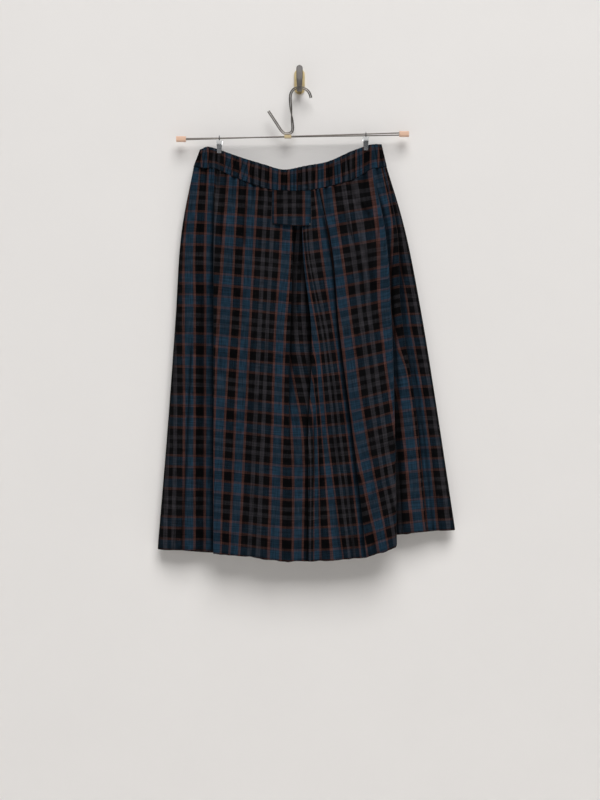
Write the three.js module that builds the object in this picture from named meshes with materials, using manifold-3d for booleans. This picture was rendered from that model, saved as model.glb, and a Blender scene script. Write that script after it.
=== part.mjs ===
// A plaid skirt that hangs from a two-rod clip hanger on a wall hook, in millimetres.
// X runs to the right as the front is looked at, Z runs up, and the wall is the plane Y = 0.
// Everything hangs in front of the wall, so a distance from the wall is minus Y.
// The origin is the middle of the wall hook's plate, on the wall.

import * as THREE from "three";
import { mergeVertices } from "three/addons/utils/BufferGeometryUtils.js";
import Module from "manifold-3d";

const wasm = await Module();
wasm.setup();

// Driving sizes
const SEAM_GAP = 0.3;
const HANG_DEPTH = 24; // the plane of the hanger, measured from the wall
const CLOTH = 1.2;
const BAND = 3; // waistband wall: two layers of cloth round an elastic
const BAND_PINCH = 0.3; // half of the gap left between front and back band in a clip
const SIDE_ROLL = 34; // how far in from a side seam the cloth curves back to it
const SIDE_STEP = 1.6; // front and back panels at a side seam, middle to middle
const SEAM_DROP = 0.8; // from the waistband's lower edge down to the panels

const ROD_RADIUS = 1.2;
const ROD_SPREAD = 3; // half of the distance between the rods, front to back
const ROD_CROSS = 1.5; // how far each rod end lies above or below the middle line
const LEFT_CAP = { x: -223, z: -112.8 };
const RIGHT_CAP = { x: 197, z: -103.2 };
const CAP = { length: 18, height: 10, depth: 11 };

const HOOK_WIRE = 1.2;
const HOOK_OFFSET = 1.5; // half of the distance between the hook's two wires
const TIE = { x: -22, length: 13, depth: 10.6, height: 5 };

const PLATE = { width: 20, height: 47, thickness: 4 };

const CLIPS = [
  { name: "left", x: -151, jaw: -140 },
  { name: "right", x: 125, jaw: -134.5 },
];
const CLIP = { jaw: 8, handle: 12, sheet: 1, flare: 2.6, handleDrop: 5, axleDrop: 13 };
const AXLE = { length: 10, radius: 2.9, waist: 1, waistHalf: 1.6 };
const RING = { wire: 0.8, top: 5.6, bottom: 2.15 };

// The waistband, from the left side to the right: its top edge, its seam with the panels, and
// how far the middle of the front and of the back wall lies from the wall.
const CLIPPED = BAND / 2 + BAND_PINCH;
const BAND_STATIONS = [
  { topX: -187, topZ: -133, seamX: -199, seamZ: -165, front: CLIPPED, back: -CLIPPED },
  { topX: -173, topZ: -128, seamX: -180, seamZ: -168, front: CLIPPED + 1, back: -CLIPPED - 1 },
  { topX: -157, topZ: -131, seamX: -162, seamZ: -168, front: CLIPPED, back: -CLIPPED },
  { topX: -145, topZ: -135, seamX: -152, seamZ: -171, front: CLIPPED, back: -CLIPPED },
  { topX: -108, topZ: -150, seamX: -120, seamZ: -187, front: 13, back: -6 },
  { topX: -66, topZ: -164, seamX: -70, seamZ: -207, front: 21, back: -10 },
  { topX: -29, topZ: -174, seamX: -30, seamZ: -213, front: 24, back: -11 },
  { topX: 12, topZ: -167, seamX: 12, seamZ: -213, front: 24, back: -11 },
  { topX: 54, topZ: -158, seamX: 58, seamZ: -204, front: 20, back: -9 },
  { topX: 94, topZ: -139, seamX: 98, seamZ: -191, front: 11, back: -6 },
  { topX: 119, topZ: -128, seamX: 121, seamZ: -178, front: CLIPPED, back: -CLIPPED },
  { topX: 131, topZ: -124, seamX: 135, seamZ: -170, front: CLIPPED, back: -CLIPPED },
  { topX: 143, topZ: -123, seamX: 150, seamZ: -167, front: CLIPPED + 1, back: -CLIPPED - 1 },
  { topX: 154, topZ: -123, seamX: 164, seamZ: -165, front: CLIPPED, back: -CLIPPED },
];
const BAND_ROWS = 3;
const GATHERS = { front: 26, back: 20, steps: 4, height: 1.3 };

// The panels' levels from the seam down to the hem, as shares of the height, and how far the
// side seams lie from the wall there.
const LEVELS = [0, 0.17, 0.39, 0.66, 1];
const EDGE_DEPTH = [24, 21, 20, 20, 22];

// The front panel's long folds, from the left side seam to the right one. At each level, x is
// where the fold's edge shows, tuck is the cloth hidden behind it, and before and after are
// the distances from the wall on its left and its right. crown bows the cloth up to the next
// fold, and hem is the height of the hem on each side of the fold.
const FOLDS = [
  {
    name: "left side", x: [-199, -222, -233, -247, -267], tuck: [0, 0, 0, 0, 0],
    before: [24, 29, 31, 33, 36], after: [24, 29, 31, 33, 36], crown: 3, hem: [-885, -885],
  },
  {
    name: "left pleat", x: [-159, -161, -161, -161, -161], tuck: [0, 40, 52, 60, 68],
    before: [27, 31, 35, 39, 43], after: [31, 45, 53, 59, 65], crown: 5, hem: [-887, -890],
  },
  {
    name: "box pleat left", x: [-12, -12, -17, -20, -20], tuck: [0, 52, 40, 6, 0],
    before: [47, 59, 65, 66, 68], after: [43, 45, 51, 64, 68], crown: 0, hem: [-904, -904],
  },
  {
    name: "box pleat right", x: [4, 6, 22, 16, 16], tuck: [0, 52, 48, 30, 20],
    before: [43, 45, 53, 60, 64], after: [46, 58, 66, 68, 71], crown: 3, hem: [-904, -904],
  },
  {
    name: "long crease", x: [37, 60, 73, 97, 124], tuck: [0, 30, 38, 34, 10],
    before: [44, 52, 57, 62, 69], after: [46, 63, 71, 75, 73], crown: 4, hem: [-897, -896],
  },
  {
    name: "right pleat", x: [136, 160, 171, 177, 181], tuck: [0, 24, 28, 26, 30],
    before: [27, 52, 63, 68, 71], after: [25, 37, 43, 46, 47], crown: 2, hem: [-877, -856],
  },
  {
    name: "right crease", x: [156, 183, 190, 217, 238], tuck: [0, 10, 16, 18, 18],
    before: [26, 37, 42, 44, 45], after: [25, 31, 33, 35, 37], crown: 3, hem: [-851, -850],
  },
  {
    name: "right side", x: [164, 198, 228, 258, 293], tuck: [0, 0, 0, 0, 0],
    before: [24, 27, 29, 31, 33], after: [24, 27, 29, 31, 33], crown: 0, hem: [-849, -849],
  },
];
const LAP_ROOM = 5; // depth that a fold needs before its cloth laps over
const LAP_FULL = 8; // a fold that laps this far has no flat run left between its turns
const FLAT_RUN = 9;
const FOLD_STEPS = 8;
const SPAN_STEPS = [10, 12, 3, 6, 9, 5, 8];
const SIDE_EASE = 1.5; // columns lie closer together near a side seam
const FRONT_ROWS = 16;
const ROW_SPREAD = 1.2; // rows lie closer together near the waist

// Soft creases of the front panel between a fold and the next one. at and t say where one
// starts and ends: across, as a share of the cloth between the folds, and down, as a share of
// the height. A rise above nothing stands out, and one below it sinks in.
const CREASES = [
  { name: "left ridge", fold: 0, at: [0.32, 0.4], t: [0.2, 1], rise: 3, width: 12 },
  { name: "left flute", fold: 0, at: [0.6, 0.68], t: [0.2, 1], rise: -4, width: 12 },
  { name: "hip tuck", fold: 1, at: [0.14, 0.1], t: [0.03, 0.22], rise: -4, width: 10 },
  { name: "centre swell", fold: 1, at: [0.45, 0.42], t: [0.3, 1], rise: -4, width: 22 },
  { name: "knee dent", fold: 3, at: [0.6, 0.66], t: [0.5, 0.8], rise: -3, width: 15 },
  { name: "hem flute one", fold: 3, at: [0.2, 0.17], t: [0.62, 1], rise: -4, width: 10 },
  { name: "hem flute two", fold: 3, at: [0.5, 0.55], t: [0.64, 1], rise: -3, width: 11 },
  { name: "hip crease", fold: 4, at: [0.55, 0.85], t: [0, 0.18], rise: -4, width: 12 },
  { name: "hip ridge", fold: 4, at: [0.75, 0.86], t: [0.18, 0.42], rise: 4, width: 11 },
  { name: "right flute", fold: 6, at: [0.5, 0.45], t: [0.3, 1], rise: -3, width: 9 },
];
const CREASE_END = 0.25; // share of a crease's length that fades out at each end

// The back panel's folds: where each lies across, as a share of the width, and how far it
// stands out or sinks in at the hem.
const BACK_FOLDS = [
  { at: 0.14, width: 0.07, rise: 7 },
  { at: 0.33, width: 0.09, rise: -4 },
  { at: 0.5, width: 0.08, rise: 6 },
  { at: 0.66, width: 0.07, rise: -4 },
  { at: 0.84, width: 0.08, rise: 7 },
];
const BACK = { columns: 34, rows: 11, waist: 12, hem: 9, nearest: 3 };
const BACK_HEM = [-885, -894, -886, -862, -849];

// The patch over the top of the box pleat
const PATCH = { left: -51, right: 21, height: 63, slant: 3, wall: 1.4, stand: 1.2 };
const PATCH_BOW = { top: 2, mouth: 5 }; // how far its middle stands out
const PATCH_STEPS = { across: 12, down: 6 };

// Colours
const finish = (color, roughness, metalness) => ({ color, roughness, metalness });
const FINISH = {
  cloth: finish(0x23303c, 0.9, 0),
  band: finish(0x27323d, 0.9, 0),
  patch: finish(0x1f2329, 0.9, 0),
  wire: finish(0x8d8880, 0.35, 0.9),
  chrome: finish(0xc9ccce, 0.15, 1),
  cap: finish(0xdba888, 0.55, 0),
  brass: finish(0xc9ad62, 0.35, 0.9),
  prong: finish(0x77706c, 0.45, 0.8),
};

const garment = new THREE.Group();

function addPart(name, geometry, look) {
  const mesh = new THREE.Mesh(geometry, new THREE.MeshStandardMaterial(look));
  mesh.name = name;
  garment.add(mesh);
  return mesh;
}

// Small helpers
const lerp = THREE.MathUtils.lerp;
const clamp01 = (v) => THREE.MathUtils.clamp(v, 0, 1);
const bell = (v) => Math.exp(-v * v);

// A smooth value at a place along a row of stations.
function along(places, values, place) {
  const spline = new THREE.CubicInterpolant(places, values, 1, new Float32Array(1));
  return spline.evaluate(THREE.MathUtils.clamp(place, places[0], places[places.length - 1]))[0];
}

const onLevel = (values, t) => along(LEVELS, values, t);

// A closed wall with a number of columns and rows, bent to shape by place(column, row, face).
// face is 0 on the side that looks at the wall and 1 on the side that looks away from it.
function bentWall(columns, rows, place) {
  const box = new THREE.BoxGeometry(1, 1, 1, columns, rows, 1);
  const position = box.getAttribute("position");
  for (let i = 0; i < position.count; i++) {
    const column = Math.round((position.getX(i) + 0.5) * columns);
    const row = Math.round((0.5 - position.getY(i)) * rows);
    const p = place(column, row, position.getZ(i) > 0 ? 1 : 0);
    position.setXYZ(i, p.x, p.y, p.z);
  }
  splitAlike(box);
  return closed(box);
}

// Splits the quads of a wall's far side along the same diagonal as those of its near side, so
// the wall keeps its thickness where it twists.
function splitAlike(box) {
  const far = box.groups[5];
  for (let i = far.start; i < far.start + far.count; i += 6) {
    const [a, b, d, , c] = box.index.array.slice(i, i + 6);
    box.index.array.set([a, b, c, a, c, d], i);
  }
}

function closed(geometry) {
  geometry.deleteAttribute("normal");
  geometry.deleteAttribute("uv");
  return mergeVertices(geometry, 1e-4);
}

function toSolid(geometry) {
  const merged = closed(geometry.clone());
  return new wasm.Manifold(
    new wasm.Mesh({
      numProp: 3,
      vertProperties: merged.getAttribute("position").array,
      triVerts: new Uint32Array(merged.index.array),
    }),
  );
}

function fromSolid(solid) {
  const mesh = solid.getMesh();
  return new THREE.BufferGeometry()
    .setAttribute("position", new THREE.BufferAttribute(mesh.vertProperties, 3))
    .setIndex(new THREE.BufferAttribute(mesh.triVerts, 1));
}

// Waistband

// The band at a share p of its width and a share w of its height: x, z, front and back.
const BAND_PLACES = BAND_STATIONS.map((_, i) => i / (BAND_STATIONS.length - 1));
const bandColumn = (key) => BAND_STATIONS.map((station) => station[key]);
const BAND_COLUMNS = {
  topX: bandColumn("topX"),
  topZ: bandColumn("topZ"),
  seamX: bandColumn("seamX"),
  seamZ: bandColumn("seamZ"),
  front: bandColumn("front"),
  back: bandColumn("back"),
};

function bandAt(p, w) {
  const at = (key) => along(BAND_PLACES, BAND_COLUMNS[key], p);
  return {
    x: lerp(at("topX"), at("seamX"), w),
    z: lerp(at("topZ"), at("seamZ"), w),
    front: Math.max(CLIPPED, at("front")),
    back: Math.min(-CLIPPED, at("back")),
  };
}

// The waistband's lower edge under a point at x: its height and its front and back walls.
const SEAM_SAMPLES = 400;
const SEAM = Array.from({ length: SEAM_SAMPLES + 1 }, (_, i) => bandAt(i / SEAM_SAMPLES, 1));

function seamUnder(x) {
  const next = THREE.MathUtils.clamp(SEAM.findIndex((s) => s.x > x), 1, SEAM_SAMPLES);
  const [a, b] = x >= SEAM[SEAM_SAMPLES].x ? SEAM.slice(-2) : [SEAM[next - 1], SEAM[next]];
  const share = clamp01((x - a.x) / (b.x - a.x));
  return {
    z: lerp(a.z, b.z, share) - SEAM_DROP,
    front: HANG_DEPTH + lerp(a.front, b.front, share),
    back: HANG_DEPTH + lerp(a.back, b.back, share),
  };
}

// How much a gather stands out: nothing in the clips and at the side folds.
function gatherFree(p) {
  const nearest = Math.min(...CLIPS.map((clip) => Math.abs(bandAt(p, 0).x - clip.x)));
  return clamp01((nearest - 6) / 16) * clamp01(p * 14) * clamp01((1 - p) * 14);
}

function gather(p, count) {
  const phase = count * p + 0.3 * Math.sin(7 * Math.PI * p) + 0.2 * Math.sin(17 * p);
  return GATHERS.height * gatherFree(p) * Math.sin(2 * Math.PI * phase);
}

// The band's plan at a height: one closed loop of places and outward directions, from the
// left tip along the front to the right tip and back along the back.
function bandLoop(w) {
  const tip = (p, out) => {
    const band = bandAt(p, w);
    return { x: band.x, z: band.z, d: HANG_DEPTH, outX: out, outD: 0 };
  };
  const wall = (count, face) => {
    const steps = count * GATHERS.steps;
    const points = Array.from({ length: steps }, (_, i) => {
      const p = (i + 0.5) / steps;
      const band = bandAt(p, w);
      const swing = gather(p, count);
      const offset = face > 0 ? band.front + Math.max(0, swing) : band.back + Math.min(0, swing);
      return { x: band.x, z: band.z, d: HANG_DEPTH + offset };
    });
    return points.map((point, i) => {
      const before = points[Math.max(0, i - 1)];
      const after = points[Math.min(steps - 1, i + 1)];
      const out = new THREE.Vector2(before.d - after.d, after.x - before.x).normalize();
      return { ...point, outX: face * out.x, outD: face * out.y };
    });
  };
  const front = wall(GATHERS.front, 1);
  const back = wall(GATHERS.back, -1).reverse();
  return [tip(0, -1), ...front, tip(1, 1), ...back];
}

function makeWaistband() {
  const rings = Array.from({ length: BAND_ROWS + 1 }, (_, row) => bandLoop(row / BAND_ROWS));
  const count = rings[0].length;
  const profile = [new THREE.Vector2(1, 0)];
  for (let row = 0; row <= BAND_ROWS; row++) profile.push(new THREE.Vector2(2, row));
  for (let row = BAND_ROWS; row >= 0; row--) profile.push(new THREE.Vector2(1, row));
  const lathe = new THREE.LatheGeometry(profile, count);
  const position = lathe.getAttribute("position");
  for (let i = 0; i < position.count; i++) {
    const [x, height, z] = [position.getX(i), position.getY(i), position.getZ(i)];
    const turn = Math.atan2(x, z) / (2 * Math.PI);
    const place = rings[BAND_ROWS - Math.round(height)][Math.round((turn + 1) * count) % count];
    const side = (Math.hypot(x, z) > 1.5 ? BAND : -BAND) / 2;
    position.setXYZ(i, place.x + side * place.outX, -(place.d + side * place.outD), place.z);
  }
  return closed(lathe);
}

// Front panel

// A share of a span, drawn closer to a side seam where the span starts or ends at one
function eased(share, startsAtSide, endsAtSide) {
  if (startsAtSide) return share ** SIDE_EASE;
  return endsAtSide ? 1 - (1 - share) ** SIDE_EASE : share;
}

// Columns of the front panel: in a span between two folds, or on the way round a fold.
const FRONT_COLUMNS = [];
FOLDS.forEach((fold, k) => {
  if (k > 0 && k < FOLDS.length - 1)
    for (let i = 1; i < FOLD_STEPS; i++) FRONT_COLUMNS.push({ k, turn: i / FOLD_STEPS });
  if (k < FOLDS.length - 1)
    for (let i = 0; i <= SPAN_STEPS[k]; i++)
      FRONT_COLUMNS.push({ k, span: eased(i / SPAN_STEPS[k], k === 0, k === FOLDS.length - 2) });
});

// How far the panels have left the waistband's form at a level: 0 at the seam, 1 at the hip.
const leaving = (t) => THREE.MathUtils.smoothstep(t, 0, LEVELS[1]);

// How much of its tucked cloth a fold has taken in at a level
const lapping = (t) => THREE.MathUtils.smoothstep(t, 0.03, 0.34);

// A fold at a level. Its cloth runs lap to each side of x as it doubles back.
function foldAt(k, t) {
  const fold = FOLDS[k];
  const before = onLevel(fold.before, t);
  const after = onLevel(fold.after, t);
  const step = Math.abs(after - before);
  const tucked = (Math.max(0, onLevel(fold.tuck, t) - step) / 4) * lapping(t);
  const lap = Math.min(tucked, Math.max(0, step * leaving(t) - LAP_ROOM));
  const side = before > after ? 1 : -1;
  const atSeam = k === 0 || k === FOLDS.length - 1;
  const run = atSeam ? 0 : (FLAT_RUN / 2) * (1 - clamp01(lap / LAP_FULL));
  return { x: onLevel(fold.x, t) - side * lap, before, after, lap, run };
}

// A place across between two folds, leaving out the flat run beside each
const between = (from, to, share) => lerp(from.x + from.run, to.x - to.run, share);

// The middle of the cloth on a column at a level.
function frontPlan({ k, turn, span }, t) {
  const fold = foldAt(k, t);
  if (turn !== undefined)
    return {
      x: fold.x + fold.lap * Math.sin(2 * Math.PI * turn) + fold.run * (2 * turn - 1),
      d: lerp(fold.before, fold.after, THREE.MathUtils.smoothstep(turn, 0, 1)),
      hem: lerp(FOLDS[k].hem[0], FOLDS[k].hem[1], turn),
    };
  const next = foldAt(k + 1, t);
  return {
    x: between(fold, next, span),
    d: lerp(fold.after, next.before, span) + FOLDS[k].crown * 4 * span * (1 - span),
    hem: lerp(FOLDS[k].hem[1], FOLDS[k + 1].hem[0], span),
  };
}

// How far the creases lift the cloth between two folds.
function creased({ k, span }, t) {
  if (span === undefined) return 0;
  const width = foldAt(k + 1, t).x - foldAt(k, t).x;
  const lifts = CREASES.filter((crease) => crease.fold === k).map((crease) => {
    const v = (t - crease.t[0]) / (crease.t[1] - crease.t[0]);
    if (v < 0 || v > 1) return 0;
    const runsOut = crease.t[1] === 1 ? 1 : clamp01((1 - v) / CREASE_END);
    const away = (span - lerp(crease.at[0], crease.at[1], v)) * width;
    const ends = Math.sin(Math.PI * span) ** 0.5;
    return crease.rise * clamp01(v / CREASE_END) * runsOut * ends * bell(away / crease.width);
  });
  return lifts.reduce((sum, lift) => sum + lift, 0);
}

// Near a side seam the cloth curves back to it.
function rolledBack(d, edge, distance) {
  const q = clamp01(distance / SIDE_ROLL);
  return edge + (d - edge) * Math.sqrt(1 - (1 - q) * (1 - q));
}

function fromSides(x, t) {
  return Math.min(x - foldAt(0, t).x, foldAt(FOLDS.length - 1, t).x - x);
}

function frontPoint(column, t) {
  const plan = frontPlan(column, t);
  const free = plan.d + creased(column, t);
  const rolled = rolledBack(free, onLevel(EDGE_DEPTH, t), fromSides(plan.x, t));
  const seam = seamUnder(plan.x);
  const d = lerp(seam.front, rolled, leaving(t));
  return new THREE.Vector3(plan.x, -d, lerp(seam.z, plan.hem, t));
}

// The direction out of the cloth, from the neighbours on each side.
function outOf(point, i, last, t) {
  const a = point(Math.max(0, i - 1), t);
  const b = point(Math.min(last, i + 1), t);
  const across = b.sub(a);
  return new THREE.Vector3(across.y, -across.x, 0).normalize();
}

function makeFrontPanel() {
  const last = FRONT_COLUMNS.length - 1;
  const point = (i, t) => frontPoint(FRONT_COLUMNS[i], t);
  return bentWall(last, FRONT_ROWS, (column, row, face) => {
    const t = (row / FRONT_ROWS) ** ROW_SPREAD;
    const out = outOf(point, column, last, t).multiplyScalar(CLOTH * (face - 0.5));
    return point(column, t).add(out);
  });
}

// Back panel

function backPoint(p, t) {
  const x = lerp(foldAt(0, t).x, foldAt(FOLDS.length - 1, t).x, p);
  const waves = BACK_FOLDS.reduce((sum, f) => sum + f.rise * bell((p - f.at) / f.width), 0);
  const free = Math.max(BACK.nearest, lerp(BACK.waist, BACK.hem, t) + waves * t);
  const edge = onLevel(EDGE_DEPTH, t) - SIDE_STEP;
  const rolled = rolledBack(free, edge, fromSides(x, t));
  const seam = seamUnder(x);
  const d = lerp(seam.back, rolled, leaving(t));
  const hemPlaces = BACK_HEM.map((_, i) => i / (BACK_HEM.length - 1));
  return new THREE.Vector3(x, -d, lerp(seam.z, along(hemPlaces, BACK_HEM, p), t));
}

function makeBackPanel() {
  const turnIn = (share) => (1 - Math.cos(Math.PI * share)) / 2;
  const point = (i, t) => backPoint(lerp(i / BACK.columns, turnIn(i / BACK.columns), 0.6), t);
  return bentWall(BACK.columns, BACK.rows, (column, row, face) => {
    const t = row / BACK.rows;
    const out = outOf(point, column, BACK.columns, t).multiplyScalar(CLOTH * (face - 0.5));
    return point(column, t).add(out);
  });
}

// Patch

// A point of the front panel's outer face on the span that starts at fold k, under a given x.
function panelUnder(k, x, t) {
  const from = foldAt(k, t);
  const to = foldAt(k + 1, t);
  const [a, b] = [between(from, to, 0), between(from, to, 1)];
  return frontPoint({ k, span: clamp01((x - a) / (b - a)) }, t);
}

function makePatch() {
  const { left, right, height, slant, wall, stand } = PATCH;
  const { across, down } = PATCH_STEPS;
  const panelHeight = seamUnder(left).z - FOLDS[2].hem[0];
  return bentWall(across, down, (column, row, face) => {
    const p = column / across;
    const q = row / down;
    const x = lerp(left, right, p);
    const top = seamUnder(x).z;
    const drop = (height + slant * p) * q;
    const t = drop / panelHeight;
    const under = lerp(panelUnder(1, left, t).y, panelUnder(3, right, t).y, p);
    const bow = 4 * p * (1 - p) * lerp(PATCH_BOW.top, PATCH_BOW.mouth, q);
    return new THREE.Vector3(x, under - stand - bow - face * wall, top - drop);
  });
}

// Hanger

function wire(points, radius, sides, steps) {
  const curve = new THREE.CatmullRomCurve3(points, false, "centripetal");
  const section = new THREE.Shape();
  for (let i = 0; i < sides; i++) {
    const a = (i / sides) * 2 * Math.PI;
    const [u, v] = [radius * Math.cos(a), radius * Math.sin(a)];
    if (i === 0) section.moveTo(u, v);
    else section.lineTo(u, v);
  }
  section.closePath();
  return closed(new THREE.ExtrudeGeometry(section, { steps, extrudePath: curve, bevelEnabled: false }));
}

function rodHeight(x) {
  return lerp(LEFT_CAP.z, RIGHT_CAP.z, (x - LEFT_CAP.x) / (RIGHT_CAP.x - LEFT_CAP.x));
}

function makeRod(side, clearance = 0) {
  const inset = CAP.length / 2 + SEAM_GAP;
  const end = (cap, inward, lift) =>
    new THREE.Vector3(cap.x + inward, -HANG_DEPTH - side * ROD_SPREAD, cap.z + lift);
  return wire(
    [end(LEFT_CAP, inset, -side * ROD_CROSS), end(RIGHT_CAP, -inset, side * ROD_CROSS)],
    ROD_RADIUS + clearance,
    10,
    1,
  );
}

function makeCap(cap) {
  const { length, height, depth } = CAP;
  const corner = 2.5;
  const [w, h] = [depth / 2, height / 2];
  const outline = new THREE.Shape();
  outline.moveTo(-w + corner, -h);
  outline.lineTo(w - corner, -h);
  outline.absarc(w - corner, -h + corner, corner, -Math.PI / 2, 0);
  outline.absarc(w - corner, h - corner, corner, 0, Math.PI / 2);
  outline.absarc(-w + corner, h - corner, corner, Math.PI / 2, Math.PI);
  outline.absarc(-w + corner, -h + corner, corner, Math.PI, 1.5 * Math.PI);
  const extent = { depth: length, bevelEnabled: false, curveSegments: 3 };
  const block = new THREE.ExtrudeGeometry(outline, extent);
  block.translate(0, 0, -length / 2);
  block.rotateX(Math.PI / 2);
  block.rotateZ(Math.PI / 2);
  block.translate(cap.x, -HANG_DEPTH, cap.z);
  return closed(block);
}

// The hook's middle line in the plane of the hanger: the free arm, the bend on the tie, the
// stem and the arch over the wall hook. twist is how far the wire pair has turned, in half
// turns: at a half it shows as one wire behind the other.
const HOOK_LINE = [
  { x: -58.5, z: -60, twist: 0 }, { x: -46, z: -79, twist: 0 }, { x: -34, z: -97, twist: 0 },
  { x: -29, z: -101.4, twist: 0 }, { x: -22, z: -102.3, twist: 0 },
  { x: -15.5, z: -100.6, twist: 0 }, { x: -13, z: -95, twist: 0 },
  { x: -13.2, z: -84, twist: 0.1 }, { x: -14.4, z: -72, twist: 0.35 },
  { x: -15.4, z: -62, twist: 0.65 }, { x: -16.6, z: -50, twist: 0.95 },
  { x: -17.4, z: -37, twist: 1 }, { x: -16.6, z: -28, twist: 1 },
  { x: -12.6, z: -20.4, twist: 1 }, { x: -6.5, z: -16.6, twist: 1 },
  { x: 1, z: -15.6, twist: 1 }, { x: 8, z: -16.8, twist: 1 }, { x: 15, z: -21, twist: 1 },
  { x: 19.6, z: -28, twist: 1 }, { x: 21.5, z: -35, twist: 1 },
];
const HOOK_STEPS = 46;

function makeHookWire(side) {
  const points = HOOK_LINE.map(({ x, z, twist }, i) => {
    const a = HOOK_LINE[Math.max(0, i - 1)];
    const b = HOOK_LINE[Math.min(HOOK_LINE.length - 1, i + 1)];
    const across = new THREE.Vector2(a.z - b.z, b.x - a.x).normalize();
    const flat = side * HOOK_OFFSET * Math.cos(Math.PI * twist);
    const deep = side * HOOK_OFFSET * Math.sin(Math.PI * twist);
    return new THREE.Vector3(x + flat * across.x, -HANG_DEPTH + deep, z + flat * across.y);
  });
  return wire(points, HOOK_WIRE, 8, HOOK_STEPS);
}

// The brass tie that holds both rods under the hook's bend
function makeTie() {
  const middle = rodHeight(TIE.x);
  const block = new THREE.BoxGeometry(TIE.length, TIE.depth, TIE.height);
  block.translate(TIE.x, -HANG_DEPTH, middle);
  const [front, back] = [1, -1].map((side) => toSolid(makeRod(side, SEAM_GAP)));
  return toSolid(block).subtract(front).subtract(back);
}

// Clips

// One leaf of a clip: a bent strip that narrows from its handle to its jaw
function makeLeaf(clip, face) {
  const { sheet, flare, jaw, handle, handleDrop, axleDrop } = CLIP;
  const rod = rodHeight(clip.x);
  const near = CLIPPED + BAND / 2 + SEAM_GAP;
  const knee = rod - axleDrop;
  const stations = [
    { z: rod - handleDrop, d: near + flare, half: handle / 2 },
    { z: knee + 2, d: near + 0.2, half: handle / 2 - 1 },
    { z: knee - 2, d: near, half: jaw / 2 + 0.5 },
    { z: clip.jaw, d: near, half: jaw / 2 },
  ];
  return bentWall(2, stations.length - 1, (column, row, side) => {
    const { z, d, half } = stations[row];
    const outside = face > 0 ? side : 1 - side;
    const depth = HANG_DEPTH + face * (d + outside * sheet);
    return new THREE.Vector3(clip.x + (column - 1) * half, -depth, z);
  });
}

// The axle between the leaves, with a groove round its middle for the ring
function makeAxle(clip) {
  const { length, radius, waist, waistHalf } = AXLE;
  const profile = [
    [0, -length / 2], [radius, -length / 2], [radius, -waistHalf], [waist, -waistHalf],
    [waist, waistHalf], [radius, waistHalf], [radius, length / 2], [0, length / 2],
  ].map(([r, h]) => new THREE.Vector2(r, h));
  const axle = new THREE.LatheGeometry(profile, 14);
  axle.rotateZ(Math.PI / 2);
  axle.translate(clip.x, -HANG_DEPTH, rodHeight(clip.x) - CLIP.axleDrop);
  return closed(axle);
}

// The ring that hangs on both rods and carries the axle: wide at the top, narrow below
function makeRing(clip) {
  const circle = 10;
  const ring = new THREE.TorusGeometry(circle, 1, 6, 32);
  const position = ring.getAttribute("position");
  const rod = rodHeight(clip.x);
  for (let i = 0; i < position.count; i++) {
    const [u, v, w] = [position.getX(i), position.getY(i), position.getZ(i)];
    const around = Math.atan2(v, u);
    const [c, s] = [Math.cos(around), Math.sin(around)];
    const upper = s > -1e-6;
    const out = (upper ? RING.top : RING.bottom) + RING.wire * (Math.hypot(u, v) - circle);
    const drop = upper ? 0 : CLIP.axleDrop;
    position.setXYZ(i, clip.x + RING.wire * w, -HANG_DEPTH + out * c, rod - drop + out * s);
  }
  return closed(ring);
}

// Wall hook

function makePlate() {
  const { width, height, thickness } = PLATE;
  const r = width / 2;
  const outline = new THREE.Shape();
  outline.moveTo(r, -height / 2 + r);
  outline.lineTo(r, height / 2 - r);
  outline.absarc(0, height / 2 - r, r, 0, Math.PI);
  outline.lineTo(-r, -height / 2 + r);
  outline.absarc(0, -height / 2 + r, r, Math.PI, 2 * Math.PI);
  const extent = { depth: thickness, bevelEnabled: false, curveSegments: 14 };
  const plate = new THREE.ExtrudeGeometry(outline, extent);
  plate.rotateX(Math.PI / 2);
  return closed(plate);
}

// The prong, a flat bar: it leaves the plate, dips under the hanger's hook, runs out and turns
// up to a round tip. d is the distance from the wall of its middle line, half its half width.
const PRONG_LINE = [
  { d: PLATE.thickness + 0.7, z: -17.6, half: 5 }, { d: 12, z: -18.9, half: 4.8 },
  { d: 24, z: -20.3, half: 4.6 }, { d: 32, z: -18.9, half: 4.6 },
  { d: 38, z: -14, half: 4.8 }, { d: 40.5, z: -5, half: 5.6 }, { d: 41, z: 5, half: 6 },
  { d: 41, z: 17, half: 6 },
];
const PRONG = { thickness: 3, sides: 16, rows: 20, tipRows: 4, chamfer: 0.59 };

function makeProng() {
  const { thickness, sides, rows, tipRows, chamfer } = PRONG;
  const places = PRONG_LINE.map((_, i) => i / (PRONG_LINE.length - 1));
  const column = (key) => PRONG_LINE.map((station) => station[key]);
  const [depths, heights, halves] = [column("d"), column("z"), column("half")];
  const tip = PRONG_LINE[PRONG_LINE.length - 1];
  const bar = new THREE.CylinderGeometry(1, 1, 1, sides, rows + tipRows);
  const position = bar.getAttribute("position");
  for (let i = 0; i < position.count; i++) {
    const row = Math.round((position.getY(i) + 0.5) * (rows + tipRows));
    const q = Math.min(1, row / rows);
    const past = Math.max(0, row - rows) / tipRows;
    const [d, z] = [along(places, depths, q), along(places, heights, q)];
    const slope = new THREE.Vector2(
      along(places, depths, Math.min(1, q + 0.01)) - along(places, depths, q - 0.01),
      along(places, heights, Math.min(1, q + 0.01)) - along(places, heights, q - 0.01),
    ).normalize();
    const swell = Math.sqrt(1 - past * past * 0.96);
    const [u, v] = [position.getX(i), position.getZ(i)];
    const [a, b] = [Math.abs(u), Math.abs(v)];
    const spread = a + b < 1e-6 ? 0 : 1 / Math.max(a, b, (a + b) * chamfer);
    const across = -u * spread * along(places, halves, q) * swell;
    const thick = v * spread * (thickness / 2);
    const rise = past * tip.half;
    position.setXYZ(i, across, -(d - thick * slope.y), z + rise + thick * slope.x);
  }
  return closed(bar);
}

// Assembly

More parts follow.
